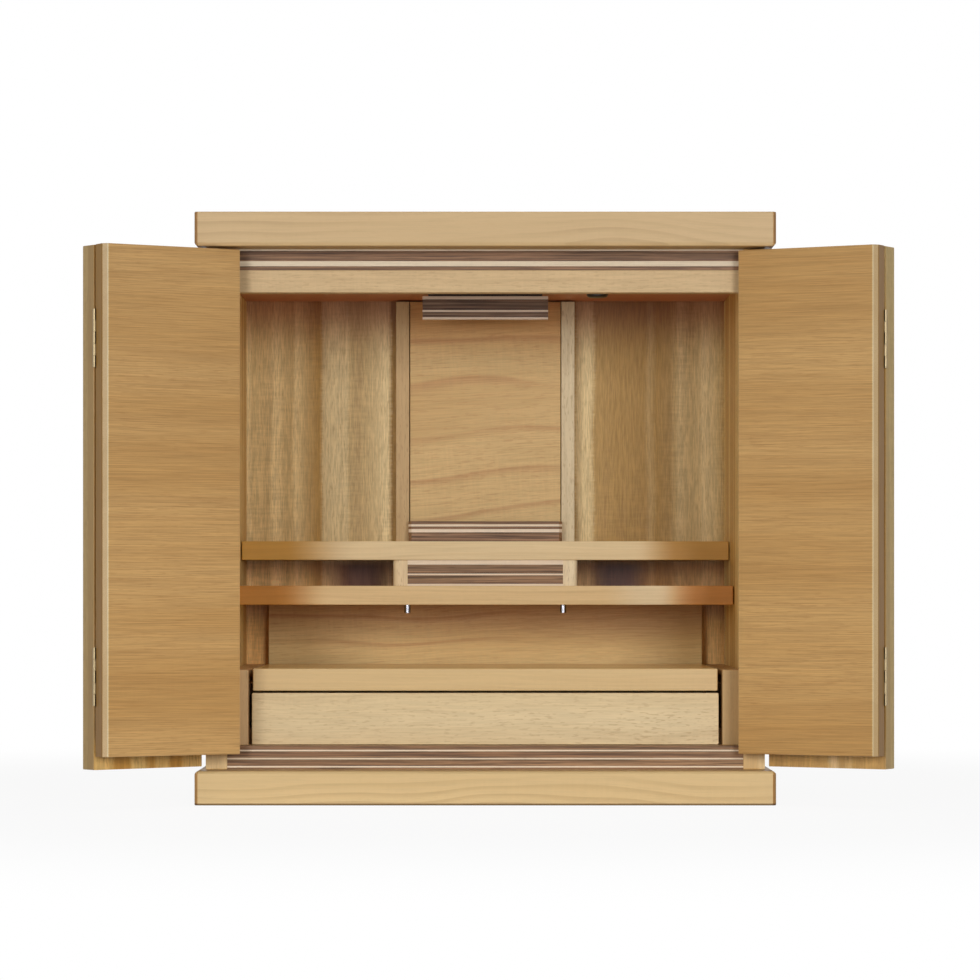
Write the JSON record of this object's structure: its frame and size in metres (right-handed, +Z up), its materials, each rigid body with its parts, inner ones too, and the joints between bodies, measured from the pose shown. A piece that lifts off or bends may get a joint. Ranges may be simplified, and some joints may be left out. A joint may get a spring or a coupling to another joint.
{
  "type": "buddhist home altar, tabletop cabinet with folding doors",
  "caption": "Tabletop home altar in pale wood with folding doors, inner shelves, a pull-out tray and a drawer.",
  "frame": {"origin": "centre of the base board's underside", "axes": "+X to the right seen from the front, +Y from the front to the back, +Z up"},
  "size_m": [0.6116, 0.3314, 0.45],
  "materials": {
    "board_veneer": "satin clear lacquer on pale cherry-like veneer",
    "door_veneer": "satin clear lacquer on horizontal veneer",
    "inner_veneer": "satin clear lacquer on vertical ribbon veneer",
    "tray_wood": "satin clear lacquer on solid pale wood",
    "drawer_wood": "satin clear lacquer on pale veneer",
    "box_wood": "plain sanded wood",
    "walnut": "satin clear lacquer on walnut",
    "maple": "satin clear lacquer on maple",
    "hinge_brass": "pale satin brass",
    "peg_chrome": "polished chrome",
    "lamp_plastic": "matt dark plastic",
    "grommet_plastic": "matt black plastic"
  },
  "bodies": {
    "cabinet": {"top_board": "board_veneer", "base_board": "board_veneer", "left_side_panel": "board_veneer", "right_side_panel": "board_veneer", "back_board": "inner_veneer", "floor_board": "board_veneer", "ceiling_board": "inner_veneer", "lintel_rail": "board_veneer", "lintel_walnut_strips": "walnut", "lintel_maple_strips": "maple", "bottom_rail_walnut_strips": "walnut", "bottom_rail_maple_strips": "maple", "centre_panel": "door_veneer", "left_pilaster": "board_veneer", "right_pilaster": "board_veneer", "plinth_walnut_strips": "walnut", "plinth_maple_strips": "maple", "lamp_housing": "lamp_plastic", "lamp_cover_walnut_strips": "walnut", "lamp_cover_maple_strips": "maple", "cord_grommet": "grommet_plastic", "upper_shelf": "board_veneer", "lower_shelf": "board_veneer", "left_riser_post": "board_veneer", "right_riser_post": "board_veneer", "riser_walnut_strips": "walnut", "riser_maple_strips": "maple", "shelf_pegs": "peg_chrome", "lower_back_panel": "door_veneer", "left_cheek": "board_veneer", "right_cheek": "board_veneer", "drawer_guides": "box_wood", "left_rear_leaf": "inner_veneer", "left_front_leaf": "door_veneer", "right_rear_leaf": "inner_veneer", "right_front_leaf": "door_veneer", "left_door_hinges": "hinge_brass", "right_door_hinges": "hinge_brass"},
    "tray": {"pull_out_tray": "tray_wood", "tray_tongues": "box_wood"},
    "drawer": {"drawer_front": "drawer_wood", "left_drawer_side": "box_wood", "right_drawer_side": "box_wood", "drawer_back": "box_wood", "drawer_bottom": "box_wood"}
  },
  "joints": [
    {"name": "tray_slide", "type": "slide", "parent": "cabinet", "child": "tray", "axis": [0, -1, 0], "range_m": [0, 0.12]},
    {"name": "drawer_slide", "type": "slide", "parent": "cabinet", "child": "drawer", "axis": [0, -1, 0], "range_m": [0, 0.14]}
  ]
}
